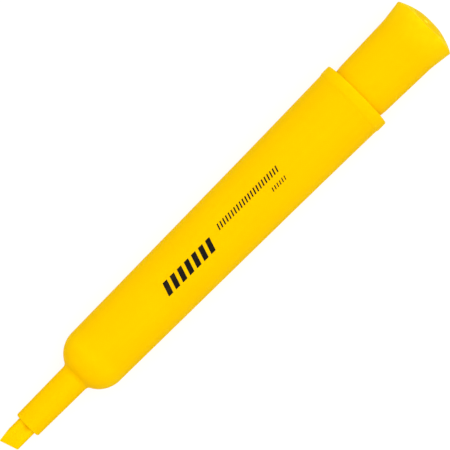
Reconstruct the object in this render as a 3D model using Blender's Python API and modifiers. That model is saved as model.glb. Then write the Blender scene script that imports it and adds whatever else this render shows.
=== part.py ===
"""Tank highlighter, uncapped, with its cap pushed into the barrel's open rear end.

The pen lies along +X: nib at -X, cap at +X, broad face of the nib facing +Z.
Sizes are in millimetres. Stations are distances along the pen from its middle,
positive towards the cap. Turned outlines are lists of (radius, station) points.
"""
import math

import bmesh
import bpy
from mathutils import Vector

MM = 0.001
SIDES = 48              # facets round a turned piece; its stated radius is to their middles
BARREL_SIDES = 24       # wider facets, so that the pen lies still on one of them
GAP = 0.35              # running gap between neighbouring pieces
EDGE_STEPS = 2          # facets round each softened edge

# Barrel: nose tube, domed shoulder, tapering tank and rear lip in one moulding
NOSE_FRONT = -62.15
NOSE_FRONT_RADIUS = 3.42
NOSE_BACK_RADIUS = 3.62
NOSE_BORE = 2.82
NOSE_EDGE = 0.3
SHOULDER_STATION = -39.8
SHOULDER_ARC = 6.9
SHOULDER_FILLET = 0.45
TANK_FRONT_RADIUS = 7.80
TANK_DRAFT = 0.0135     # radius gained for each mm towards the rear
TANK_SWELL = 0.125      # extra radius gained over TANK_SWELL_LENGTH near the rear
TANK_SWELL_START = 10.0
TANK_SWELL_LENGTH = 30.0
TANK_WALL = 1.25
LIP_RADIUS = 9.25
LIP_RAMP = (42.15, 42.65)
LIP_EDGE = 0.3
RIM = 45.15
SOCKET_RADIUS = 7.5
SOCKET_FRONT = 30.0
SOCKET_EDGE = 0.2

# Nib: a flat-sided felt rod, cut to a slanted chisel edge
NIB_RADIUS = 2.46
NIB_HALF_THICKNESS = 1.75
NIB_BACK = -34.2
NIB_LONG_CORNER = (2.0, -69.12)     # (across, station) of the edge's leading end
NIB_SHORT_CORNER = (-2.07, -67.75)
NIB_WEDGE_START = -65.2
NIB_EDGE_HALF_THICKNESS = 0.32
NIB_TAPER_START = (2.44, -65.8)     # the leading side narrows from here to the tip
NIB_TAPER_END = (2.02, -69.1)
NIB_SOFTENING = 0.12

# Ink store
RESERVOIR_FRONT = -38.0
RESERVOIR_BACK = 29.4
RESERVOIR_RADIUS = 5.55
RESERVOIR_CHAMFER = 0.6
WRAP_THICKNESS = 0.25
WRAP_END_INSET = 0.5

# Plug that closes the tank in front of the rear socket
PLUG_RADIUS = SOCKET_RADIUS - GAP
PLUG_FACE = 36.3
PLUG_THICKNESS = 1.8
PLUG_SKIRT_FRONT = 30.2
PLUG_SKIRT_BORE = 6.1
PLUG_EDGE = 0.4

# Cap
CAP_MOUTH = 39.3
CAP_MOUTH_RADIUS = 7.15
CAP_MOUTH_BORE = 6.05
CAP_MOUTH_EDGE = 0.35
CAP_NECK = (45.6, 47.2)             # the narrower mouth end blends into the body here
CAP_BODY_RADIUS = 7.34              # at the end of the neck
CAP_DRAFT = 0.029
CAP_FLARE_BLEND = (60.5, 62.5)
CAP_FLARE = 0.105                   # extra radius gained for each mm beyond the blend
CAP_CORNER_RADIUS = 8.48
CAP_CORNER_EDGE = 0.3
CAP_CROWN_ARC = 17.5
CAP_CROWN = 69.1
CAP_WALL = 1.3
BOSS_FRONT = 63.5
BOSS_WALL = 0.9

# Liner: the sleeve inside the cap that seals round the nose when the pen is capped
LINER_MOUTH = 52.5
LINER_BACK = 66.8
LINER_RADIUS = 4.6
LINER_BORE = 3.75
LINER_FLOOR = 0.9
LINER_LEAD_IN = 0.35

YELLOW_PLASTIC = (0.97, 0.60, 0.004)
FELT_YELLOW = (0.98, 0.66, 0.01)
INK_YELLOW = (0.86, 0.82, 0.06)
CLEAR_FILM = (0.88, 0.88, 0.80)
NATURAL_PLASTIC = (0.86, 0.84, 0.74)

AXIS_HEIGHT = LIP_RADIUS


def clear_scene():
    for thing in list(bpy.data.objects):
        bpy.data.objects.remove(thing, do_unlink=True)


def collection(name):
    made = bpy.data.collections.new(name)
    bpy.context.scene.collection.children.link(made)
    return made


def material(name, colour, roughness):
    made = bpy.data.materials.new(name)
    made.use_nodes = True
    shader = made.node_tree.nodes["Principled BSDF"]
    shader.inputs["Base Color"].default_value = (*colour, 1.0)
    shader.inputs["Roughness"].default_value = roughness
    shader.inputs["Metallic"].default_value = 0.0
    return made


# ---- outlines -------------------------------------------------------------

def stations(start, end, count):
    """Evenly spaced stations from start to end, both included."""
    return [start + (end - start) * i / (count - 1) for i in range(count)]


def rounded(corners):
    """An outline through (radius, station, edge) corners, with each corner cut back to an arc.

    edge is the radius of the arc; 0 keeps the corner. A corner may leave edge out.
    """
    outline = []
    last = len(corners) - 1
    for index, corner in enumerate(corners):
        here = Vector(corner[:2])
        edge = corner[2] if len(corner) > 2 else 0.0
        if edge == 0.0 or index in (0, last):
            outline.append(tuple(here))
            continue
        before = (Vector(corners[index - 1][:2]) - here).normalized()
        after = (Vector(corners[index + 1][:2]) - here).normalized()
        half_angle = before.angle(after) / 2
        towards_centre = (before + after).normalized()
        centre = here + towards_centre * edge / math.sin(half_angle)
        reach = edge / math.tan(half_angle)
        start = (here + before * reach - centre).normalized()
        end = (here + after * reach - centre).normalized()
        for step in range(EDGE_STEPS + 1):
            spoke = start.slerp(end, step / EDGE_STEPS)
            outline.append(tuple(centre + spoke * edge))
    return outline


def tank_radius(station):
    radius = TANK_FRONT_RADIUS + TANK_DRAFT * (station - SHOULDER_STATION)
    swell = max(0.0, station - TANK_SWELL_START) / TANK_SWELL_LENGTH
    return radius + TANK_SWELL * swell ** 2


def shoulder(arc, end_radius, count):
    """The domed shoulder's outline, from the tank forward to where its radius is end_radius."""
    centre_radius = TANK_FRONT_RADIUS - SHOULDER_ARC
    last_angle = math.acos((end_radius - centre_radius) / arc)
    points = []
    for angle in stations(0.0, last_angle, count):
        radius = centre_radius + arc * math.cos(angle)
        points.append((radius, SHOULDER_STATION - arc * math.sin(angle)))
    return points


def cap_radius(station):
    radius = CAP_BODY_RADIUS + CAP_DRAFT * (station - CAP_NECK[1])
    start, end = CAP_FLARE_BLEND
    if station > end:
        return radius + CAP_FLARE * (station - (start + end) / 2)
    if station > start:
        return radius + CAP_FLARE * (station - start) ** 2 / (2 * (end - start))
    return radius


def crown_station(radius, inset=0.0):
    """Station of the domed closed end at a radius; inset moves the surface inward."""
    arc = CAP_CROWN_ARC - inset
    return CAP_CROWN - CAP_CROWN_ARC + math.sqrt(arc ** 2 - radius ** 2)


def barrel_outline():
    nose_end = shoulder(SHOULDER_ARC, NOSE_BACK_RADIUS, 11)
    outer = [
        (SOCKET_RADIUS, RIM - SOCKET_EDGE),
        (SOCKET_RADIUS + SOCKET_EDGE, RIM),
        (LIP_RADIUS, RIM, LIP_EDGE),
        (LIP_RADIUS, LIP_RAMP[1], LIP_EDGE),
        (tank_radius(LIP_RAMP[0]), LIP_RAMP[0]),
    ]
    outer += [(tank_radius(s), s) for s in stations(35.0, TANK_SWELL_START, 4)]
    outer += nose_end[:-1]
    outer += [
        (*nose_end[-1], SHOULDER_FILLET),
        (NOSE_FRONT_RADIUS, NOSE_FRONT, NOSE_EDGE),
        (NOSE_BORE, NOSE_FRONT),
    ]
    inner_shoulder = shoulder(SHOULDER_ARC - TANK_WALL, NOSE_BORE, 7)
    inner = inner_shoulder[::-1] + [(SOCKET_RADIUS, SOCKET_FRONT)]
    return rounded(outer + inner)


def reservoir_outline():
    nib_hole = NIB_RADIUS + GAP
    return rounded([
        (0.0, RESERVOIR_BACK),
        (RESERVOIR_RADIUS - RESERVOIR_CHAMFER, RESERVOIR_BACK),
        (RESERVOIR_RADIUS, RESERVOIR_BACK - RESERVOIR_CHAMFER),
        (RESERVOIR_RADIUS, RESERVOIR_FRONT + RESERVOIR_CHAMFER),
        (RESERVOIR_RADIUS - RESERVOIR_CHAMFER, RESERVOIR_FRONT),
        (nib_hole, RESERVOIR_FRONT),
        (nib_hole, NIB_BACK + GAP),
        (0.0, NIB_BACK + GAP),
    ])


def wrap_outline():
    inside = RESERVOIR_RADIUS + GAP
    outside = inside + WRAP_THICKNESS
    front = RESERVOIR_FRONT + WRAP_END_INSET
    back = RESERVOIR_BACK - WRAP_END_INSET
    return [(inside, back), (outside, back), (outside, front), (inside, front)]


def plug_outline():
    floor = PLUG_FACE - PLUG_THICKNESS
    return rounded([
        (0.0, PLUG_FACE),
        (PLUG_RADIUS, PLUG_FACE, PLUG_EDGE),
        (PLUG_RADIUS, PLUG_SKIRT_FRONT),
        (PLUG_SKIRT_BORE, PLUG_SKIRT_FRONT),
        (PLUG_SKIRT_BORE, floor, PLUG_EDGE),
        (0.0, floor),
    ])


def cap_outline():
    corner = crown_station(CAP_CORNER_RADIUS)
    crown = [(r, crown_station(r)) for r in stations(0.0, CAP_CORNER_RADIUS, 7)]
    outer = crown[:-1] + [(*crown[-1], CAP_CORNER_EDGE)]
    flare = stations(corner - 0.8, CAP_FLARE_BLEND[0], 6)
    outer += [(cap_radius(s), s) for s in flare]
    outer += [
        (CAP_BODY_RADIUS, CAP_NECK[1]),
        (CAP_MOUTH_RADIUS, CAP_NECK[0]),
        (CAP_MOUTH_RADIUS, CAP_MOUTH, CAP_MOUTH_EDGE),
        (CAP_MOUTH_BORE, CAP_MOUTH, CAP_MOUTH_EDGE),
    ]
    boss_bore = LINER_RADIUS + GAP
    boss_radius = boss_bore + BOSS_WALL
    inner_corner = CAP_CORNER_RADIUS - 1.6
    inner = [
        (cap_radius(CAP_FLARE_BLEND[0]) - CAP_WALL, CAP_FLARE_BLEND[0]),
        (inner_corner, crown_station(inner_corner, CAP_WALL)),
        (boss_radius, crown_station(boss_radius, CAP_WALL)),
        (boss_radius, BOSS_FRONT),
        (boss_bore, BOSS_FRONT),
    ]
    inner += [(r, crown_station(r, CAP_WALL)) for r in stations(boss_bore, 0.0, 4)]
    return rounded(outer + inner)


def liner_outline():
    return rounded([
        (0.0, LINER_BACK),
        (LINER_RADIUS, LINER_BACK, LINER_LEAD_IN),
        (LINER_RADIUS, LINER_MOUTH),
        (LINER_BORE + LINER_LEAD_IN, LINER_MOUTH),
        (LINER_BORE, LINER_MOUTH + 2 * LINER_LEAD_IN),
        (LINER_BORE, LINER_BACK - LINER_FLOOR),
        (0.0, LINER_BACK - LINER_FLOOR),
    ])


# ---- solids ---------------------------------------------------------------

def place(made, home, axis):
    home.objects.link(made)
    made.parent = axis
    return made


def turned(name, outline, finish, home, axis, closed, sides=SIDES):
    """A solid of revolution about the axis empty's own Z, with one of its facets facing down.

    closed joins the outline's two ends.
    """
    mesh = bpy.data.meshes.new(name)
    count = len(outline)
    half_facet = math.pi / sides
    corner = 1 / math.cos(half_facet)
    edges = [(i, (i + 1) % count) for i in range(count if closed else count - 1)]
    points = [(radius * corner * MM, 0.0, station * MM) for radius, station in outline]
    mesh.from_pydata(points, edges, [])
    mesh.materials.append(finish)
    made = place(bpy.data.objects.new(name, mesh), home, axis)
    made.rotation_euler.z = half_facet
    screw = made.modifiers.new("turn", "SCREW")
    screw.axis = "Z"
    screw.angle = math.tau
    screw.steps = sides
    screw.render_steps = sides
    screw.use_merge_vertices = True
    screw.merge_threshold = 0.00001
    screw.use_smooth_shade = True
    return made


def plane_off(mesh, through, facing):
    """Cut away what lies in front of a plane and close the cut."""
    parts = mesh.verts[:] + mesh.edges[:] + mesh.faces[:]
    bmesh.ops.bisect_plane(
        mesh, geom=parts, dist=1e-9, plane_co=through, plane_no=facing, clear_outer=True
    )
    rim = [edge for edge in mesh.edges if edge.is_boundary]
    bmesh.ops.holes_fill(mesh, edges=rim)


def cross_plane(first, second, outward):
    """Point and normal of the plane through two (across, station) points, edge-on to the nib's flats."""
    along = Vector((0.0, second[0] - first[0], second[1] - first[1]))
    normal = along.cross(Vector((1.0, 0.0, 0.0))).normalized()
    if normal.dot(Vector((0.0, *outward))) < 0:
        normal.negate()
    return Vector((0.0, *first)) * MM, normal


def make_nib(finish, home, axis):
    length = (NIB_BACK - NIB_LONG_CORNER[1] + 1.0) * MM
    mesh = bmesh.new()
    bmesh.ops.create_cone(
        mesh, cap_ends=True, segments=32, depth=length,
        radius1=NIB_RADIUS * MM, radius2=NIB_RADIUS * MM,
    )
    bmesh.ops.translate(mesh, verts=mesh.verts, vec=(0, 0, NIB_BACK * MM - length / 2))
    for side in (1, -1):
        flat = Vector((side * NIB_HALF_THICKNESS * MM, 0, 0))
        plane_off(mesh, flat, Vector((side, 0, 0)))
        run = NIB_WEDGE_START - NIB_LONG_CORNER[1]
        drop = NIB_HALF_THICKNESS - NIB_EDGE_HALF_THICKNESS
        start = Vector((side * NIB_HALF_THICKNESS, 0, NIB_WEDGE_START)) * MM
        plane_off(mesh, start, Vector((side * run, 0, -drop)).normalized())
    plane_off(mesh, *cross_plane(NIB_LONG_CORNER, NIB_SHORT_CORNER, (0, -1)))
    plane_off(mesh, *cross_plane(NIB_TAPER_START, NIB_TAPER_END, (1, 0)))
    bmesh.ops.recalc_face_normals(mesh, faces=mesh.faces)
    data = bpy.data.meshes.new("nib")
    mesh.to_mesh(data)
    mesh.free()
    data.materials.append(finish)
    made = place(bpy.data.objects.new("nib", data), home, axis)
    soften = made.modifiers.new("soften", "BEVEL")
    soften.width = NIB_SOFTENING * MM
    soften.segments = 2
    soften.limit_method = "ANGLE"
    soften.angle_limit = math.radians(25)
    return made


def shade(made):
    made.data.shade_smooth()
    made.data.set_sharp_from_angle(angle=math.radians(35))


def build():
    clear_scene()
    pen = collection("highlighter")
    axis = bpy.data.objects.new("pen_axis", None)
    axis.location.z = AXIS_HEIGHT * MM
    axis.rotation_euler.y = math.pi / 2
    pen.objects.link(axis)
    cap_axis = bpy.data.objects.new("cap_slide_axis", None)
    cap_axis.parent = axis
    pen.objects.link(cap_axis)

    plastic = material("yellow_plastic", YELLOW_PLASTIC, 0.38)
    felt = material("nib_felt", FELT_YELLOW, 0.9)
    ink = material("ink_fibre", INK_YELLOW, 0.95)
    film = material("wrap_film", CLEAR_FILM, 0.3)
    natural = material("natural_plastic", NATURAL_PLASTIC, 0.45)

    turned("barrel", barrel_outline(), plastic, pen, axis, closed=True, sides=BARREL_SIDES)
    shade(make_nib(felt, pen, axis))
    turned("ink_reservoir", reservoir_outline(), ink, pen, axis, closed=False)
    turned("reservoir_wrap", wrap_outline(), film, pen, axis, closed=True)
    turned("rear_plug", plug_outline(), plastic, pen, axis, closed=False)
    turned("cap_shell", cap_outline(), plastic, pen, cap_axis, closed=False)
    turned("cap_liner", liner_outline(), natural, pen, cap_axis, closed=False)
    bpy.context.view_layer.update()


build()
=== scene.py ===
"""Looks of the tank highlighter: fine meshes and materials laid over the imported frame."""
import math

import bmesh
import bpy
from mathutils import Matrix, Vector, noise


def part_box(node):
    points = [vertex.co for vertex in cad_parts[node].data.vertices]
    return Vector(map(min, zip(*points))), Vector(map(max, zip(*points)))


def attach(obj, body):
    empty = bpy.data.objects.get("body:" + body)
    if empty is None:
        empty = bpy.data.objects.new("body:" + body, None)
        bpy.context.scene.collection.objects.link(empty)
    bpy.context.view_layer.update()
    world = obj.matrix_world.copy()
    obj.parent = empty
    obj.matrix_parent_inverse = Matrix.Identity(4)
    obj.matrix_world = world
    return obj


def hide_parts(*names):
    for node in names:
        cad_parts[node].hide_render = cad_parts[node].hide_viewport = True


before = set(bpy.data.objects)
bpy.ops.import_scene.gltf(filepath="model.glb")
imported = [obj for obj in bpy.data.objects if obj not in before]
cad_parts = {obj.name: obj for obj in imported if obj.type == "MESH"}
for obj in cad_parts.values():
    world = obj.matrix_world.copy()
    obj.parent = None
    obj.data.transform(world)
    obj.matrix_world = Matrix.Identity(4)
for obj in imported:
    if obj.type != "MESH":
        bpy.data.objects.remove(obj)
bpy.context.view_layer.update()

MM = 0.001
SIDES = 192             # facets round a turned piece
EDGE_STEPS = 6          # facets round each softened edge
NOTHING = 1e-6          # mm: a ring of a smaller radius is a point
SMOOTH_BELOW = math.radians(40)     # the angle up to which an edge is shaded smooth

# ---- sizes, in mm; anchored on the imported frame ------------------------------


def box_mm(node):
    low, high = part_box(node)
    return low / MM, high / MM


BARREL_LOW, BARREL_HIGH = box_mm("barrel")
NIB_LOW, NIB_HIGH = box_mm("nib")
CAP_LOW, CAP_HIGH = box_mm("cap_shell")
PLUG_LOW, PLUG_HIGH = box_mm("rear_plug")
LINER_LOW, LINER_HIGH = box_mm("cap_liner")

AXIS_HEIGHT = (BARREL_LOW.z + BARREL_HIGH.z) / 2
RIM = BARREL_HIGH.x
NOSE_FRONT = BARREL_LOW.x
LIP_RADIUS = (BARREL_HIGH.z - BARREL_LOW.z) / 2
CAP_MOUTH = CAP_LOW.x
CAP_CROWN = CAP_HIGH.x

GAP = 0.35              # between neighbouring pieces
FINE_EDGE = 0.1         # radii that edges are softened to, where they have no name of their own
SMALL_EDGE = 0.2
SOFT_EDGE = 0.3
FULL_EDGE = 0.4

NOSE_FRONT_RADIUS = 3.42
NOSE_BACK_RADIUS = 3.62
NOSE_BORE = 2.82
NOSE_EDGE = 0.45
NOSE_BORE_EDGE = 0.12
NOSE_RING = 3.0         # to an extra ring, from the nose's root outside and its front inside
NOSE_RING_DRAFT = 0.02  # radius lost from the root to the outer one
SHOULDER_STATION = RIM - 84.95
SHOULDER_ARC = 6.9
SHOULDER_FILLET = 1.2
DOME_RINGS = 20
DOME_INSIDE_RINGS = 12
TANK_FRONT_RADIUS = 7.80
TANK_DRAFT = 0.0135     # radius gained for each mm towards the rear
TANK_SWELL = 0.125      # extra radius gained over TANK_SWELL_LENGTH near the rear
TANK_SWELL_START = RIM - 35.15
TANK_SWELL_LENGTH = 30.0
TANK_WALL = 1.25
TANK_REAR_RINGS = 12
TANK_FRONT_RINGS = 9
LIP_RAMP_FRONT = RIM - 3.0
LIP_RAMP_BACK = RIM - 2.5
LIP_EDGE = 0.3
SOCKET_RADIUS = 7.5
SOCKET_FRONT = RIM - 15.15
SOCKET_RING = RIM - 3.0     # the barrel's outline starts here, on the socket's wall
SOCKET_EDGE = 0.25

CAP_MOUTH_RADIUS = 7.15
CAP_MOUTH_BORE = 6.05
CAP_MOUTH_EDGE = 0.4
CAP_NECK_FRONT = RIM + 0.45
CAP_NECK_BACK = RIM + 2.05
CAP_BODY_RADIUS = 7.34      # at the back of the neck
CAP_DRAFT = 0.029
CAP_FLARE_START = CAP_CROWN - 8.6
CAP_FLARE_END = CAP_CROWN - 6.6
CAP_FLARE = 0.105           # extra radius gained for each mm beyond the flare's start
CAP_CORNER_RADIUS = 8.48    # before its edge is softened
CAP_CORNER_EDGE = 0.35
CAP_CROWN_ARC = 17.5
CAP_WALL = 1.3
CAP_CORNER_WALL = 1.6
CAP_INNER_EDGE = 0.5
CROWN_RINGS = 40
FLARE_RINGS = 20
BODY_RINGS = 7
NECK_RINGS = 7
BOSS_WALL = 0.9         # the boss inside the cap holds the liner
BOSS_FRONT = CAP_CROWN - 5.6
BOSS_EDGE = 0.15
DIMPLE_RISE = 4.2       # the gate's shallow dimple lies this far above the axis
DIMPLE_RADIUS = 4.35
DIMPLE_DEPTH = 0.1
DIMPLE_SLOPE = 0.5
GATE_ACROSS = 0.7       # the gate's pip in the dimple
GATE_RISE = 6.7
GATE_RADIUS = 0.65
GATE_HEIGHT = 0.08
GATE_SLOPE = 0.3
CROWN_SKIN = 0.2        # what lies this near to the crown's outer surface belongs to it

PLUG_THICKNESS = 1.8
PLUG_SKIRT_BORE = 6.1
PLUG_RECESS_DEPTH = 0.8
PLUG_RECESS_FLOOR = 4.2     # the recess's radius at its floor and at the plug's face
PLUG_RECESS_MOUTH = 4.8
PLUG_PIP_DEPTH = 0.5        # from the plug's face to the top of the gate's pip in the recess
PLUG_PIP_TOP = 0.5          # the pip's radius at its top and at its foot
PLUG_PIP_FOOT = 0.9

LINER_RADIUS = 4.6
LINER_BORE = 3.75
LINER_FLOOR = 0.9
LINER_LEAD_IN = 0.35        # radius gained at the mouth, over twice that length
LINER_RING = 2.6            # from the mouth to the raised ring that grips the nose
LINER_RING_HALF = 0.5
LINER_RING_HEIGHT = 0.1
LINER_EDGE = 0.35
LINER_MOUTH_EDGE = 0.15

NIB_RADIUS = 2.46
NIB_HALF_THICKNESS = 1.75
NIB_EDGE_HALF_THICKNESS = 0.32
NIB_WEDGE_LENGTH = 3.9
NIB_TIP_INSET = 0.02    # the block's long corner lies this far inside the box
NIB_LONG_CORNER = 2.0   # and this far across from the axis
NIB_SLANT_RISE = 1.37   # how far the short corner lies behind the long one
NIB_SLANT_RUN = 4.07    # and how far across from it
NIB_TAPER_START = 2.44  # across: the leading side narrows from here
NIB_TAPER_LENGTH = 3.3
NIB_TAPER_DROP = 0.42
NIB_SIDES = 96
NIB_SOFTENING = 0.3
NIB_FUZZ = 0.035        # depth of the pits between the fibres,
NIB_LUMPS = 0.9         # and how many lumps and pits there are to each mm
NIB_PITS = 4.5
NIB_VOXEL = 0.11
WEDGE_START = NIB_LOW.x + NIB_WEDGE_LENGTH

# ---- print, colours, light and camera ----------------------------------------

PRINT_PROUD = 0.015
# cuts that let the strokes follow the barrel: from, to and step, in mm
CUTS_ACROSS = (-4.0, 4.0, 0.3)
CUTS_ALONG = (-20.0, 22.0, 2.0)
STROKE_LEAN = math.radians(18)
# rows of strokes: count, first and last station, middle across, stroke width and height
STROKE_ROWS = {
    "print_broad_strokes": (7, -17.7, -2.7, -0.6, 1.35, 3.2),
    "print_fine_strokes": (22, 0.8, 19.8, 1.1, 0.36, 1.5),
    "print_small_strokes": (6, 15.6, 19.7, -1.7, 0.26, 1.0),
}

YELLOW = (0.98, 0.565, 0.0, 1)
YELLOW_DEEP = (0.97, 0.545, 0.0, 1)
YELLOW_LIGHT = (1.0, 0.595, 0.0, 1)
# worn edges with a painted highlight, and painted light on the cap's flare
YELLOW_WORN_AND_LIT = (1.0, 0.66, 0.002, 1)
YELLOW_HALF_LIT = (1.0, 0.625, 0.0, 1)       # painted light on the lip; in the gate's dimple, painted shade against the paler crown
YELLOW_ROOT_SHADE = (0.95, 0.51, 0.0, 1)      # painted shade: a deeper ring where the dome meets the nose
# painted light on the cap's crown
YELLOW_CROWN_LIT = (1.0, 0.76, 0.01, 1)
# painted glint on the gate's pip
YELLOW_GATE_GLINT = (1.0, 0.86, 0.02, 1)
FELT = (1.0, 0.625, 0.0, 1)
FELT_DRY = (1.0, 0.69, 0.001, 1)
# wetter felt, and painted shade on the wedge and in the pores
FELT_WET_AND_SHADED = (0.98, 0.58, 0.0, 1)
# painted shadow of the nose's rim on the nib
FELT_SHADOWED = (0.92, 0.46, 0.0, 1)
NATURAL = (0.86, 0.84, 0.74, 1)
NATURAL_DEEP = (0.82, 0.80, 0.68, 1)
NATURAL_LIGHT = (0.92, 0.91, 0.84, 1)
NATURAL_PALE = (0.95, 0.94, 0.90, 1)
FIBRE = (0.80, 0.74, 0.04, 1)
FIBRE_DRY = (0.92, 0.90, 0.25, 1)
FILM = (0.85, 0.84, 0.72, 1)
FILM_CREASE = (0.95, 0.95, 0.90, 1)
PRINT_BLACK = (0.008, 0.007, 0.006, 1)
PRINT_WORN = (0.05, 0.035, 0.01, 1)
TABLE = (0.23, 0.23, 0.23, 1)
TABLE_LIGHT = (0.25, 0.25, 0.25, 1)
WHITE = (1, 1, 1, 1)

PLASTIC_GLOSS = 0.005   # specular levels: low, so that the sides stay as deep a yellow as the top
PLASTIC_TRANSLUCENCE = 0.25
PLASTIC_REACH = (1.0, 0.8, 0.1)     # how far red, green and blue go in, as shares of the depth
PLASTIC_DEPTH = 1.5     # mm
FELT_GLOSS = 0.01
FELT_TRANSLUCENCE = 0.15
FELT_REACH = (1.0, 0.7, 0.05)
FELT_DEPTH = 0.5        # mm
PRINT_GLOSS = 0.03
FILM_COAT = 0.3
TABLE_ROUGHNESS = 0.9
NIB_SHADOW_SPOT = (-0.1, -0.3)     # mm from the nose's front and from the axis: the centre of the painted shadow of the nose's rim on the nib

SKY_STRENGTH = 0.58
KEY_STRENGTH = 1.95     # W/m2 on a surface that faces the key light
KEY_SOFTNESS = 50.0     # degrees across
KEY_FROM = (0.06, -0.02, 1.0)   # towards the key light
FLOOR_GLOW = 0.78       # the floor's own light, which keeps it pale
FLOOR_HALF = 4.0        # m
FLOOR_DROP = 0.05       # mm below the pen, so that the two share no face

CAMERA_DISTANCE = 0.99  # m, from the pen's axis
FIELD = 0.1033          # m across the picture at the pen's axis
CAMERA_OVER = -15.5     # mm: the camera stands over this station,
AIM_ALONG = 2.45        # and looks at this one
AIM_ACROSS = 0.35
PEN_ANGLE = 45.06       # degrees between the pen and the picture's lower edge


# ---- outlines: lists of (radius, station) ------------------------------------

def stations(start, end, count):
    """Evenly spaced stations from start to end, both included."""
    return [start + (end - start) * i / (count - 1) for i in range(count)]


def rounded(corners):
    """An outline through (radius, station, edge) corners, each cut back to an arc of that radius."""
    outline = []
    last = len(corners) - 1
    for index, corner in enumerate(corners):
        here = Vector(corner[:2])
        edge = corner[2] if len(corner) > 2 else 0.0
        if edge == 0.0 or index in (0, last):
            outline.append(tuple(here))
            continue
        before = (Vector(corners[index - 1][:2]) - here).normalized()
        after = (Vector(corners[index + 1][:2]) - here).normalized()
        half_angle = before.angle(after) / 2
        centre = here + (before + after).normalized() * edge / math.sin(half_angle)
        reach = edge / math.tan(half_angle)
        start = (here + before * reach - centre).normalized()
        end = (here + after * reach - centre).normalized()
        for step in range(EDGE_STEPS + 1):
            spoke = start.slerp(end, step / EDGE_STEPS)
            outline.append(tuple(centre + spoke * edge))
    return outline


def tank_radius(station):
    radius = TANK_FRONT_RADIUS + TANK_DRAFT * (station - SHOULDER_STATION)
    swell = max(0.0, station - TANK_SWELL_START) / TANK_SWELL_LENGTH
    return radius + TANK_SWELL * swell ** 2


def shoulder(arc, end_radius, count):
    """The domed shoulder's outline, from the tank forward to where its radius is end_radius."""
    centre_radius = TANK_FRONT_RADIUS - SHOULDER_ARC
    last_angle = math.acos((end_radius - centre_radius) / arc)
    points = []
    for angle in stations(0.0, last_angle, count):
        radius = centre_radius + arc * math.cos(angle)
        points.append((radius, SHOULDER_STATION - arc * math.sin(angle)))
    return points


def cap_radius(station):
    radius = CAP_BODY_RADIUS + CAP_DRAFT * (station - CAP_NECK_BACK)
    if station > CAP_FLARE_END:
        return radius + CAP_FLARE * (station - (CAP_FLARE_START + CAP_FLARE_END) / 2)
    if station > CAP_FLARE_START:
        run = CAP_FLARE_END - CAP_FLARE_START
        return radius + CAP_FLARE * (station - CAP_FLARE_START) ** 2 / (2 * run)
    if station < CAP_NECK_BACK:
        share = (CAP_NECK_BACK - station) / (CAP_NECK_BACK - CAP_NECK_FRONT)
        drop = radius - CAP_MOUTH_RADIUS
        return radius - drop * min(1.0, share) ** 2
    return radius


def crown_station(radius, inset=0.0):
    """Station of the domed closed end at a radius; inset moves the surface inward."""
    arc = CAP_CROWN_ARC - inset
    return CAP_CROWN - CAP_CROWN_ARC + math.sqrt(arc ** 2 - radius ** 2)


def barrel_outline():
    dome = shoulder(SHOULDER_ARC, NOSE_BACK_RADIUS, DOME_RINGS)
    nose_back = dome[-1][1]
    # rings keep a little clear of the lip's ramp and of the dome
    tank = stations(LIP_RAMP_FRONT - 1, TANK_SWELL_START, TANK_REAR_RINGS)
    tank += stations(TANK_SWELL_START - 5, SHOULDER_STATION + 4, TANK_FRONT_RINGS)
    outer = [
        (SOCKET_RADIUS, SOCKET_RING),
        (SOCKET_RADIUS, RIM, SOCKET_EDGE),
        (LIP_RADIUS, RIM, LIP_EDGE),
        (LIP_RADIUS, LIP_RAMP_BACK, LIP_EDGE),
        (tank_radius(LIP_RAMP_FRONT), LIP_RAMP_FRONT, SMALL_EDGE),
    ]
    outer += [(tank_radius(s), s) for s in tank]
    outer += dome[:-2]
    outer += [
        (NOSE_BACK_RADIUS, nose_back, SHOULDER_FILLET),
        (NOSE_BACK_RADIUS - NOSE_RING_DRAFT, nose_back - NOSE_RING),
        (NOSE_FRONT_RADIUS, NOSE_FRONT, NOSE_EDGE),
        (NOSE_BORE, NOSE_FRONT, NOSE_BORE_EDGE),
        (NOSE_BORE, NOSE_FRONT + NOSE_RING),
    ]
    inner_shoulder = shoulder(SHOULDER_ARC - TANK_WALL, NOSE_BORE, DOME_INSIDE_RINGS)
    inner = inner_shoulder[::-1] + [(SOCKET_RADIUS, SOCKET_FRONT)]
    return rounded(outer + inner)


def cap_outline():
    corner = crown_station(CAP_CORNER_RADIUS)
    crown = [(r, crown_station(r)) for r in stations(0.0, CAP_CORNER_RADIUS, CROWN_RINGS)]
    # rings keep a little clear of the corner, then follow the flare, the body and the neck
    side = stations(corner - 0.9, CAP_FLARE_START, FLARE_RINGS)
    side += stations(CAP_FLARE_START - 2, CAP_NECK_BACK + 0.5, BODY_RINGS)
    side += stations(CAP_NECK_BACK, CAP_NECK_FRONT, NECK_RINGS)
    outer = crown[:-1] + [(*crown[-1], CAP_CORNER_EDGE)]
    outer += [(cap_radius(s), s) for s in side]
    outer += [
        (CAP_MOUTH_RADIUS, CAP_MOUTH, CAP_MOUTH_EDGE),
        (CAP_MOUTH_BORE, CAP_MOUTH, CAP_MOUTH_EDGE),
    ]
    boss_bore = LINER_RADIUS + GAP
    boss_radius = boss_bore + BOSS_WALL
    inner_corner = CAP_CORNER_RADIUS - CAP_CORNER_WALL
    inner = [
        (cap_radius(CAP_FLARE_START) - CAP_WALL, CAP_FLARE_START),
        (inner_corner, crown_station(inner_corner, CAP_WALL), CAP_INNER_EDGE),
        (boss_radius, crown_station(boss_radius, CAP_WALL), SMALL_EDGE),
        (boss_radius, BOSS_FRONT, BOSS_EDGE),
        (boss_bore, BOSS_FRONT, BOSS_EDGE),
    ]
    inner += [(r, crown_station(r, CAP_WALL)) for r in stations(boss_bore, 0.0, 6)]
    return rounded(outer + inner)


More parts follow.
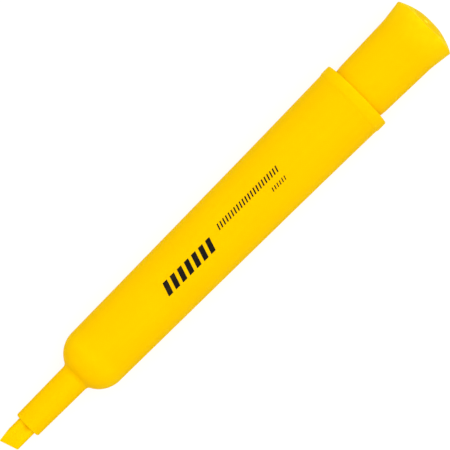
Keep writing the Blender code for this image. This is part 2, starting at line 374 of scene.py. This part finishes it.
def plug_outline():
    radius = (PLUG_HIGH.z - PLUG_LOW.z) / 2
    face = PLUG_HIGH.x
    skirt = PLUG_LOW.x
    pip = face - PLUG_PIP_DEPTH
    recess = face - PLUG_RECESS_DEPTH
    floor = face - PLUG_THICKNESS
    return rounded([
        (0.0, pip),
        (PLUG_PIP_TOP, pip, FINE_EDGE),
        (PLUG_PIP_FOOT, recess, FINE_EDGE),
        (PLUG_RECESS_FLOOR, recess, SOFT_EDGE),
        (PLUG_RECESS_MOUTH, face, SMALL_EDGE),
        (radius, face, FULL_EDGE),
        (radius, skirt, SMALL_EDGE),
        (PLUG_SKIRT_BORE, skirt, SMALL_EDGE),
        (PLUG_SKIRT_BORE, floor, FULL_EDGE),
        (0.0, floor),
    ])


def liner_outline():
    mouth = LINER_LOW.x
    back = LINER_HIGH.x
    ring = mouth + LINER_RING
    floor = back - LINER_FLOOR
    return rounded([
        (0.0, back),
        (LINER_RADIUS, back, LINER_EDGE),
        (LINER_RADIUS, mouth, SMALL_EDGE),
        (LINER_BORE + LINER_LEAD_IN, mouth, LINER_MOUTH_EDGE),
        (LINER_BORE, mouth + 2 * LINER_LEAD_IN, SOFT_EDGE),
        (LINER_BORE, ring - LINER_RING_HALF, SOFT_EDGE),
        (LINER_BORE - LINER_RING_HEIGHT, ring, SOFT_EDGE),
        (LINER_BORE, ring + LINER_RING_HALF, SOFT_EDGE),
        (LINER_BORE, floor, FULL_EDGE),
        (0.0, floor),
    ])


# ---- meshes ------------------------------------------------------------------

def finished(name, mesh, finish, body, slot, *replaced):
    """Shade a mesh, give it its material and body, and stand it in for CAD nodes."""
    mesh.shade_smooth()
    mesh.set_sharp_from_angle(angle=SMOOTH_BELOW)
    mesh.materials.append(finish)
    piece = bpy.data.objects.new(name, mesh)
    bpy.context.scene.collection.objects.link(piece)
    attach(piece, body)
    if replaced:
        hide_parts(*replaced)
    return piece


def mesh_data(name, mesh):
    """A bmesh as mesh data. The bmesh is freed."""
    data = bpy.data.meshes.new(name)
    mesh.to_mesh(data)
    mesh.free()
    return data


def turned(name, outline, closed):
    """A mesh turned about the pen's axis. closed joins the outline's two ends."""
    mesh = bmesh.new()
    rings = []
    for radius, station in outline:
        if radius < NOTHING:
            rings.append([mesh.verts.new((station * MM, 0, AXIS_HEIGHT * MM))])
            continue
        ring = []
        for side in range(SIDES):
            angle = math.tau * side / SIDES
            across = radius * math.cos(angle)
            height = AXIS_HEIGHT + radius * math.sin(angle)
            ring.append(mesh.verts.new((station * MM, across * MM, height * MM)))
        rings.append(ring)
    following = rings[1:] + (rings[:1] if closed else [])
    for ring, after in zip(rings, following):
        for side in range(SIDES):
            turn = (side + 1) % SIDES
            if len(ring) == 1:
                corners = (ring[0], after[side], after[turn])
            elif len(after) == 1:
                corners = (ring[side], after[0], ring[turn])
            else:
                corners = (ring[side], after[side], after[turn], ring[turn])
            mesh.faces.new(corners)
    bmesh.ops.recalc_face_normals(mesh, faces=mesh.faces)
    return mesh_data(name, mesh)


def eased(share):
    """Smooth step: 0 below share 0, 1 above share 1."""
    share = min(1.0, max(0.0, share))
    return share * share * (3 - 2 * share)


def marked_by_gate(mesh):
    """Sink the shallow dimple into the cap's crown and raise the gate's pip in it."""
    for vertex in mesh.vertices:
        along, across, height = vertex.co / MM
        rise = height - AXIS_HEIGHT
        if along < crown_station(math.hypot(across, rise)) - CROWN_SKIN:
            continue
        from_dimple = math.hypot(across, rise - DIMPLE_RISE)
        from_gate = math.hypot(across - GATE_ACROSS, rise - GATE_RISE)
        sunk = DIMPLE_DEPTH * eased((DIMPLE_RADIUS - from_dimple) / DIMPLE_SLOPE)
        raised = GATE_HEIGHT * eased((GATE_RADIUS - from_gate) / GATE_SLOPE)
        vertex.co.x += (raised - sunk) * MM
    return mesh


def cut(mesh, through, facing, cleared=False):
    """Cut a mesh along a plane. cleared also removes what lies in front of it."""
    parts = mesh.verts[:] + mesh.edges[:] + mesh.faces[:]
    bmesh.ops.bisect_plane(
        mesh, geom=parts, dist=1e-9, plane_co=through, plane_no=facing, clear_outer=cleared
    )


def plane_off(mesh, through, facing):
    """Cut away what lies in front of a plane and close the cut."""
    cut(mesh, through, facing, cleared=True)
    rim = [edge for edge in mesh.edges if edge.is_boundary]
    bmesh.ops.holes_fill(mesh, edges=rim)


def applied(mesh, modifiers):
    """A copy of a mesh with modifiers, given as (type, settings) pairs, applied to it."""
    holder = bpy.data.objects.new("holder", mesh)
    bpy.context.scene.collection.objects.link(holder)
    for kind, settings in modifiers:
        modifier = holder.modifiers.new(kind.lower(), kind)
        for setting, value in settings.items():
            setattr(modifier, setting, value)
    ready = holder.evaluated_get(bpy.context.evaluated_depsgraph_get())
    result = bpy.data.meshes.new_from_object(ready)
    bpy.data.objects.remove(holder)
    return result


def nib_block():
    """The nib's crisp shape: a rod with two flats, a wedge and a slanted end."""
    tip = NIB_LOW.x
    back = NIB_HIGH.x
    centre = Vector((0, 0, AXIS_HEIGHT))
    mesh = bmesh.new()
    bmesh.ops.create_cone(
        mesh, cap_ends=True, segments=NIB_SIDES, depth=(back - tip) * MM,
        radius1=NIB_RADIUS * MM, radius2=NIB_RADIUS * MM,
    )
    lie_down = Matrix.Rotation(math.pi / 2, 4, "Y")
    middle = Matrix.Translation(Vector(((tip + back) / 2, 0, AXIS_HEIGHT)) * MM)
    bmesh.ops.transform(mesh, matrix=middle @ lie_down, verts=mesh.verts)
    wedge_drop = NIB_HALF_THICKNESS - NIB_EDGE_HALF_THICKNESS
    for side in (1, -1):
        flat = centre + Vector((WEDGE_START, 0, side * NIB_HALF_THICKNESS))
        plane_off(mesh, flat * MM, Vector((0, 0, side)))
        slope = Vector((-wedge_drop, 0, side * NIB_WEDGE_LENGTH)).normalized()
        plane_off(mesh, flat * MM, slope)
    long_corner = centre + Vector((tip + NIB_TIP_INSET, NIB_LONG_CORNER, 0))
    slant = Vector((-NIB_SLANT_RUN, -NIB_SLANT_RISE, 0)).normalized()
    plane_off(mesh, long_corner * MM, slant)
    taper_start = centre + Vector((tip + NIB_TAPER_LENGTH, NIB_TAPER_START, 0))
    taper = Vector((-NIB_TAPER_DROP, NIB_TAPER_LENGTH, 0)).normalized()
    plane_off(mesh, taper_start * MM, taper)
    return mesh_data("nib_block", mesh)


def make_nib(finish):
    """The felt nib: its block with worn edges and a surface pitted between fibres."""
    mesh = applied(nib_block(), [
        ("BEVEL", {"width": NIB_SOFTENING * MM, "segments": 5, "angle_limit": math.radians(25)}),
        ("REMESH", {"mode": "VOXEL", "voxel_size": NIB_VOXEL * MM}),
        ("SMOOTH", {"factor": 0.5, "iterations": 3}),
    ])
    for vertex, normal in zip(mesh.vertices, [v.normal.copy() for v in mesh.vertices]):
        place = vertex.co / MM
        coarse = noise.noise(place * NIB_LUMPS)
        fine = noise.fractal(place * NIB_PITS, 1.0, 2.0, 3)
        sunk = (0.5 + 0.35 * coarse + 0.5 * abs(fine)) * NIB_FUZZ
        vertex.co -= normal * sunk * MM
    return finished("nib_felt", mesh, finish, "barrel_body", "nib_felt", "nib")


# ---- print -------------------------------------------------------------------

def slanted(start, end, middle, height):
    """Corners of a slanted stroke: (along, across) in mm."""
    half = height / 2
    shift = math.tan(STROKE_LEAN) * half
    return [
        (start - shift, middle - half),
        (end - shift, middle - half),
        (end + shift, middle + half),
        (start + shift, middle + half),
    ]


def sliced(mesh, direction, low, high, step):
    """Cut a mesh square to a direction at every step from low to high."""
    for index in range(int((high - low) / step)):
        cut(mesh, direction * (low + step * (index + 1)), direction)


def stroke_row(count, first, last, middle, width, height):
    """A row of slanted strokes such as the nib would draw."""
    pitch = (last - first - width) / (count - 1)
    starts = [first + pitch * index for index in range(count)]
    return [slanted(start, start + width, middle, height) for start in starts]


def make_print(name, strokes, finish):
    """Ink strokes wrapped round the top of the barrel, a hair above the plastic."""
    mesh = bmesh.new()
    for corners in strokes:
        mesh.faces.new([mesh.verts.new((along, across, 0)) for along, across in corners])
    sliced(mesh, Vector((0, 1, 0)), *CUTS_ACROSS)
    sliced(mesh, Vector((1, 0, 0)), *CUTS_ALONG)
    for vertex in mesh.verts:
        along, across, _ = vertex.co
        radius = tank_radius(along) + PRINT_PROUD
        angle = across / radius
        height = AXIS_HEIGHT + radius * math.cos(angle)
        vertex.co = Vector((along, radius * math.sin(angle), height)) * MM
    thick = [("SOLIDIFY", {"thickness": 2 * PRINT_PROUD * MM, "offset": -1.0})]
    return finished(name, applied(mesh_data(name, mesh), thick), finish, "barrel_body", None)


# ---- materials ---------------------------------------------------------------

def add(tree, kind, settings=None, **inputs):
    """A shader node, made with settings.

    inputs are its sockets' names, with _ for a space. A value is a number, a colour or an output.
    """
    made = tree.nodes.new(kind)
    for key, value in (settings or {}).items():
        setattr(made, key, value)
    for key, value in inputs.items():
        socket = made.inputs[key.replace("_", " ")]
        if isinstance(value, bpy.types.NodeSocket):
            tree.links.new(value, socket)
        else:
            socket.default_value = value
    return made


def new_material(name):
    """A material, its tree, its shader and the surface point, in metres."""
    made = bpy.data.materials.new(name)
    made.use_nodes = True
    tree = made.node_tree
    shader = tree.nodes["Principled BSDF"]
    place = add(tree, "ShaderNodeTexCoord").outputs["Object"]
    return made, tree, shader, place


def stretched(tree, place, along, across):
    """The surface point scaled for a texture: along the pen, and across it, in cycles per mm."""
    scale = (along / MM, across / MM, across / MM)
    return add(tree, "ShaderNodeMapping", Vector=place, Scale=scale).outputs["Vector"]


def noise_value(tree, point, detail=2.0, roughness=0.5, distortion=0.0):
    return add(
        tree, "ShaderNodeTexNoise", Vector=point, Scale=1.0, Detail=detail,
        Roughness=roughness, Distortion=distortion,
    ).outputs["Fac"]


def ranged(tree, value, low, high, out_low, out_high):
    """A value's range from low to high, mapped to out_low to out_high and held beyond."""
    return add(
        tree, "ShaderNodeMapRange", Value=value, From_Min=low, From_Max=high,
        To_Min=out_low, To_Max=out_high,
    ).outputs["Result"]


def maths(tree, operation, first, second, kind="ShaderNodeMath"):
    made = add(tree, kind, {"operation": operation})
    for socket, value in zip(made.inputs, (first, second)):
        if isinstance(value, bpy.types.NodeSocket):
            tree.links.new(value, socket)
        else:
            socket.default_value = value
    return made.outputs["Value"]


def blended(tree, share, first, second):
    return add(
        tree, "ShaderNodeMixRGB", Fac=share, Color1=first, Color2=second
    ).outputs["Color"]


def bumped(tree, height, depth_mm, strength=1.0, normal=None):
    """A normal bumped by a height that is depth_mm where it is 1, on top of another normal."""
    made = add(
        tree, "ShaderNodeBump", Height=height, Distance=depth_mm * MM, Strength=strength
    )
    if normal:
        tree.links.new(normal, made.inputs["Normal"])
    return made.outputs["Normal"]


def covered(tree, shader, colour, roughness, normal):
    """Give a shader what varies over the surface: its colour, roughness and normal."""
    tree.links.new(colour, shader.inputs["Base Color"])
    tree.links.new(roughness, shader.inputs["Roughness"])
    tree.links.new(normal, shader.inputs["Normal"])


def blotchy_band(tree, place, shade, tint, start, full, end, gone):
    """Blend to a tint between two stations, in mm, and back between two more, in soft blotches."""
    along = add(tree, "ShaderNodeSeparateXYZ", Vector=place).outputs["X"]
    reach = ranged(tree, along, start * MM, full * MM, 0.0, 1.0)
    reach = maths(tree, "MULTIPLY", reach, ranged(tree, along, end * MM, gone * MM, 1.0, 0.0))
    blotch = noise_value(tree, stretched(tree, place, 0.28, 0.28), detail=3.0, distortion=0.8)
    patchy = ranged(tree, blotch, 0.35, 0.65, 0.45, 1.0)
    return blended(tree, maths(tree, "MULTIPLY", reach, patchy), shade, tint)


def crown_spot(tree, place, shade, tint, across, rise, radius, edge):
    """Blend to a tint in a round spot on the cap's crown, placed in mm from the axis."""
    station = crown_station(math.hypot(across, rise))
    centre = Vector((station, across, AXIS_HEIGHT + rise)) * MM
    gap = maths(tree, "DISTANCE", place, centre, "ShaderNodeVectorMath")
    near = ranged(tree, gap, (radius - edge) * MM, radius * MM, 1.0, 0.0)
    return blended(tree, near, shade, tint)


def moulded_plastic(name, colour, deep, light, pale, bands=(), spots=()):
    """Satin injection-moulded plastic: flow marks, mottling, fine grain, scuffs and worn edges.

    pale is for worn edges and the painted highlight along them. bands and spots paint light (paler)
    and shade (deeper) in tints; they are arguments of blotchy_band and crown_spot from tint on.
    """
    made, tree, shader, place = new_material(name)
    mottle = noise_value(tree, stretched(tree, place, 0.05, 0.12), detail=3.0)
    flow = noise_value(tree, stretched(tree, place, 0.03, 0.9), detail=4.0, distortion=0.6)
    grain = noise_value(tree, stretched(tree, place, 7.0, 7.0), detail=2.0, roughness=0.7)
    scuff_field = noise_value(tree, stretched(tree, place, 0.35, 5.5), detail=5.0, distortion=1.2)
    scuffs = ranged(tree, scuff_field, 0.64, 0.72, 0.0, 1.0)
    edges = add(tree, "ShaderNodeNewGeometry").outputs["Pointiness"]
    edge_wear_and_highlight = ranged(tree, edges, 0.515, 0.58, 0.0, 1.0)

    shade = blended(tree, ranged(tree, mottle, 0.3, 0.7, 0.0, 1.0), colour, deep)
    shade = blended(tree, ranged(tree, flow, 0.45, 0.75, 0.0, 0.35), shade, light)
    # painted light and painted shade, in bands along the pen and spots on the crown
    for band in bands:
        shade = blotchy_band(tree, place, shade, *band)
    for spot in spots:
        shade = crown_spot(tree, place, shade, *spot)
    # edges turn pale: real wear, and a painted highlight where edges catch the light
    shade = blended(tree, maths(tree, "MULTIPLY", edge_wear_and_highlight, 0.6), shade, pale)

    satin = ranged(tree, grain, 0.3, 0.7, 0.40, 0.50)
    satin = maths(tree, "ADD", satin, maths(tree, "MULTIPLY", scuffs, 0.14))
    satin = maths(tree, "ADD", satin, maths(tree, "MULTIPLY", edge_wear_and_highlight, 0.08))

    sink = bumped(tree, mottle, 0.10, 0.35)
    skin = bumped(tree, grain, 0.006, 0.6, sink)
    scratched = bumped(tree, scuffs, -0.004, 0.7, skin)
    covered(tree, shader, shade, satin, scratched)
    shader.inputs["Specular IOR Level"].default_value = PLASTIC_GLOSS
    shader.inputs["Specular Tint"].default_value = light
    shader.inputs["Subsurface Weight"].default_value = PLASTIC_TRANSLUCENCE
    shader.inputs["Subsurface Radius"].default_value = PLASTIC_REACH
    shader.inputs["Subsurface Scale"].default_value = PLASTIC_DEPTH * MM
    return made


def felt(name, colour, dry, wet_and_shaded, shadowed):
    """Bonded fibre soaked in ink: pores between fibres that run along the nib."""
    made, tree, shader, place = new_material(name)
    pores = add(
        tree, "ShaderNodeTexVoronoi", {"feature": "F1"},
        Vector=stretched(tree, place, 3.2, 6.5), Scale=1.0, Randomness=1.0,
    ).outputs["Distance"]
    strands = noise_value(tree, stretched(tree, place, 0.7, 7.0), detail=4.0, distortion=1.5)
    soak = noise_value(tree, stretched(tree, place, 0.25, 0.35), detail=2.0)
    shade = blended(tree, ranged(tree, soak, 0.35, 0.65, 0.0, 1.0), colour, wet_and_shaded)
    shade = blended(tree, ranged(tree, strands, 0.5, 0.75, 0.0, 0.6), shade, dry)
    # the pores darker: inky felt, and painted shade in the pits
    shade = blended(tree, ranged(tree, pores, 0.0, 0.30, 0.35, 0.0), shade, wet_and_shaded)
    along = add(tree, "ShaderNodeSeparateXYZ", Vector=place).outputs["X"]
    # painted shade: the wedge, tilted away from the light, darker towards the tip
    wedge_shade = ranged(tree, along, WEDGE_START * MM, NIB_LOW.x * MM, 0.0, 0.6)
    shade = blended(tree, wedge_shade, shade, wet_and_shaded)
    # painted shadow: the nose's rim darkens the nib just in front of it
    shadow_height = AXIS_HEIGHT + NIB_HALF_THICKNESS
    shadow_place = Vector((NOSE_FRONT + NIB_SHADOW_SPOT[0], NIB_SHADOW_SPOT[1], shadow_height)) * MM
    from_shadow = maths(tree, "DISTANCE", place, shadow_place, "ShaderNodeVectorMath")
    shade = blended(tree, ranged(tree, from_shadow, 0.4 * MM, 1.3 * MM, 0.9, 0.0), shade, shadowed)
    rough = ranged(tree, strands, 0.3, 0.7, 0.72, 0.95)
    pitted = bumped(tree, pores, 0.05, 0.7)
    covered(tree, shader, shade, rough, bumped(tree, strands, 0.04, 0.7, pitted))
    shader.inputs["Specular IOR Level"].default_value = FELT_GLOSS
    shader.inputs["Subsurface Weight"].default_value = FELT_TRANSLUCENCE
    shader.inputs["Subsurface Radius"].default_value = FELT_REACH
    shader.inputs["Subsurface Scale"].default_value = FELT_DEPTH * MM
    return made


def ink_fibre(name, colour, dry):
    """The reservoir's bundled fibres, running along the pen."""
    made, tree, shader, place = new_material(name)
    fibres = noise_value(tree, stretched(tree, place, 0.15, 9.0), detail=5.0, distortion=0.8)
    shade = blended(tree, ranged(tree, fibres, 0.35, 0.7, 0.0, 1.0), colour, dry)
    rough = ranged(tree, fibres, 0.3, 0.7, 0.8, 0.98)
    covered(tree, shader, shade, rough, bumped(tree, fibres, 0.08, 0.8))
    return made


def wrap_film(name, colour, crease):
    """Thin pale film, creased where it was rolled."""
    made, tree, shader, place = new_material(name)
    folds = noise_value(tree, stretched(tree, place, 0.12, 0.8), detail=4.0, distortion=2.0)
    shade = blended(tree, ranged(tree, folds, 0.4, 0.7, 0.0, 1.0), colour, crease)
    rough = ranged(tree, folds, 0.3, 0.7, 0.12, 0.3)
    covered(tree, shader, shade, rough, bumped(tree, folds, 0.12, 0.6))
    shader.inputs["Coat Weight"].default_value = FILM_COAT
    return made


def print_ink(name, black, worn_black):
    """Pad-printed black ink: a thin matt film with pinholes and slightly rubbed patches."""
    made, tree, shader, place = new_material(name)
    rub = noise_value(tree, stretched(tree, place, 0.5, 0.9), detail=4.0)
    speck = noise_value(tree, stretched(tree, place, 9.0, 9.0), detail=1.0)
    shade = blended(tree, ranged(tree, rub, 0.45, 0.8, 0.0, 0.6), black, worn_black)
    shade = blended(tree, ranged(tree, speck, 0.68, 0.76, 0.0, 0.5), shade, worn_black)
    rough = ranged(tree, rub, 0.3, 0.7, 0.45, 0.6)
    covered(tree, shader, shade, rough, bumped(tree, speck, 0.01, 0.5))
    shader.inputs["Specular IOR Level"].default_value = PRINT_GLOSS
    return made


def table_top(name):
    """A pale, evenly lit table top, as a product is photographed on."""
    made, tree, shader, place = new_material(name)
    tone = noise_value(tree, stretched(tree, place, 0.02, 0.02), detail=2.0)
    shade = blended(tree, tone, TABLE, TABLE_LIGHT)
    tree.links.new(shade, shader.inputs["Base Color"])
    shader.inputs["Roughness"].default_value = TABLE_ROUGHNESS
    shader.inputs["Specular IOR Level"].default_value = 0.0
    shader.inputs["Emission Color"].default_value = WHITE
    shader.inputs["Emission Strength"].default_value = FLOOR_GLOW
    return made


# ---- stage -------------------------------------------------------------------

def make_floor():
    """A table top far wider than any view of the pen."""
    mesh = bmesh.new()
    bmesh.ops.create_grid(mesh, x_segments=4, y_segments=4, size=FLOOR_HALF)
    data = mesh_data("floor", mesh)
    data.materials.append(table_top("table_top"))
    floor = bpy.data.objects.new("floor", data)
    floor.location.z = -FLOOR_DROP * MM
    bpy.context.scene.collection.objects.link(floor)


def make_lights():
    """A white sky and one wide soft light from above."""
    world = bpy.data.worlds.new("studio")
    world.use_nodes = True
    sky = world.node_tree.nodes["Background"]
    sky.inputs["Color"].default_value = WHITE
    sky.inputs["Strength"].default_value = SKY_STRENGTH
    bpy.context.scene.world = world
    lamp = bpy.data.lights.new("softbox", "SUN")
    lamp.energy = KEY_STRENGTH
    lamp.angle = math.radians(KEY_SOFTNESS)
    softbox = bpy.data.objects.new("softbox", lamp)
    softbox.rotation_mode = "QUATERNION"
    softbox.rotation_quaternion = Vector(KEY_FROM).to_track_quat("Z", "Y")
    bpy.context.scene.collection.objects.link(softbox)


def make_camera():
    """Almost straight above the pen, turned so that the cap points up and to the right."""
    axis_height = AXIS_HEIGHT * MM
    stands = Vector((CAMERA_OVER * MM, 0, axis_height + CAMERA_DISTANCE))
    aim = Vector((AIM_ALONG * MM, AIM_ACROSS * MM, axis_height))
    data = bpy.data.cameras.new("camera")
    data.lens = data.sensor_width * CAMERA_DISTANCE / FIELD
    camera = bpy.data.objects.new("camera", data)
    camera.location = stands
    turn = math.radians(PEN_ANGLE)
    back = (stands - aim).normalized()
    upward = Vector((math.sin(turn), math.cos(turn), 0))
    right = upward.cross(back).normalized()
    upward = back.cross(right)
    camera.rotation_mode = "QUATERNION"
    camera.rotation_quaternion = Matrix((right, upward, back)).transposed().to_quaternion()
    bpy.context.scene.collection.objects.link(camera)
    bpy.context.scene.camera = camera


# ---- the pen -----------------------------------------------------------------

def build():
    """Make every piece of the pen, and give the two CAD nodes in the tank their materials."""
    nose_root = SHOULDER_STATION - SHOULDER_ARC
    yellow = moulded_plastic(
        "barrel_plastic", YELLOW, YELLOW_DEEP, YELLOW_LIGHT, YELLOW_WORN_AND_LIT,
        bands=[
            # painted light: the lip paler all round, as where light shines through its thin wall
            (YELLOW_HALF_LIT, LIP_RAMP_FRONT - 0.5, RIM, RIM + 1, RIM + 2),
            # painted shade in the hollow at the nose's root
            (YELLOW_ROOT_SHADE, nose_root - 0.6, nose_root + 0.4, nose_root + 1.2, nose_root + 3.2),
            # painted light: a paler band over the front of the dome
            (YELLOW_LIGHT, SHOULDER_STATION - 3, SHOULDER_STATION - 1,
             SHOULDER_STATION - 0.5, SHOULDER_STATION + 2.5),
        ])
    cap_yellow = moulded_plastic(
        "cap_plastic", YELLOW, YELLOW_DEEP, YELLOW_LIGHT, YELLOW_WORN_AND_LIT,
        bands=[
            # painted light: the cap paler from its flare to its crown
            (YELLOW_WORN_AND_LIT, CAP_FLARE_START, CAP_CROWN - 2.5, CAP_CROWN, CAP_CROWN + 1),
            # painted light: the crown paler still
            (YELLOW_CROWN_LIT, CAP_CROWN - 2.2, CAP_CROWN - 1.9, CAP_CROWN, CAP_CROWN + 1),
        ],
        spots=[
            # painted shade: the dimple keeps a deeper yellow than the painted-lit crown round it
            (YELLOW_HALF_LIT, 0.0, DIMPLE_RISE, DIMPLE_RADIUS + 0.2, 0.3),
            # painted glint: the gate's pip much paler than the crown
            (YELLOW_GATE_GLINT, GATE_ACROSS, GATE_RISE, GATE_RADIUS, 0.2),
        ])
    natural = moulded_plastic(
        "natural_plastic", NATURAL, NATURAL_DEEP, NATURAL_LIGHT, NATURAL_PALE)
    ink = print_ink("printing_ink", PRINT_BLACK, PRINT_WORN)

    finished("barrel_shell", turned("barrel_shell", barrel_outline(), True), yellow,
             "barrel_body", "yellow_plastic", "barrel")
    finished("tank_plug", turned("tank_plug", plug_outline(), False), yellow,
             "barrel_body", "yellow_plastic", "rear_plug")
    finished("cap_body", marked_by_gate(turned("cap_body", cap_outline(), False)), cap_yellow,
             "cap", "yellow_plastic", "cap_shell")
    finished("cap_seal", turned("cap_seal", liner_outline(), False), natural,
             "cap", "natural_plastic", "cap_liner")
    make_nib(felt("soaked_felt", FELT, FELT_DRY, FELT_WET_AND_SHADED, FELT_SHADOWED))
    for name, row in STROKE_ROWS.items():
        make_print(name, stroke_row(*row), ink)

    fibre = ink_fibre("reservoir_fibre", FIBRE, FIBRE_DRY)
    film = wrap_film("reservoir_film", FILM, FILM_CREASE)
    for node, finish in (("ink_reservoir", fibre), ("reservoir_wrap", film)):
        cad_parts[node].data.materials.clear()
        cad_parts[node].data.materials.append(finish)


bpy.context.scene.view_settings.view_transform = "Standard"
bpy.context.scene.view_settings.look = "None"
make_camera()
make_lights()
make_floor()
build()
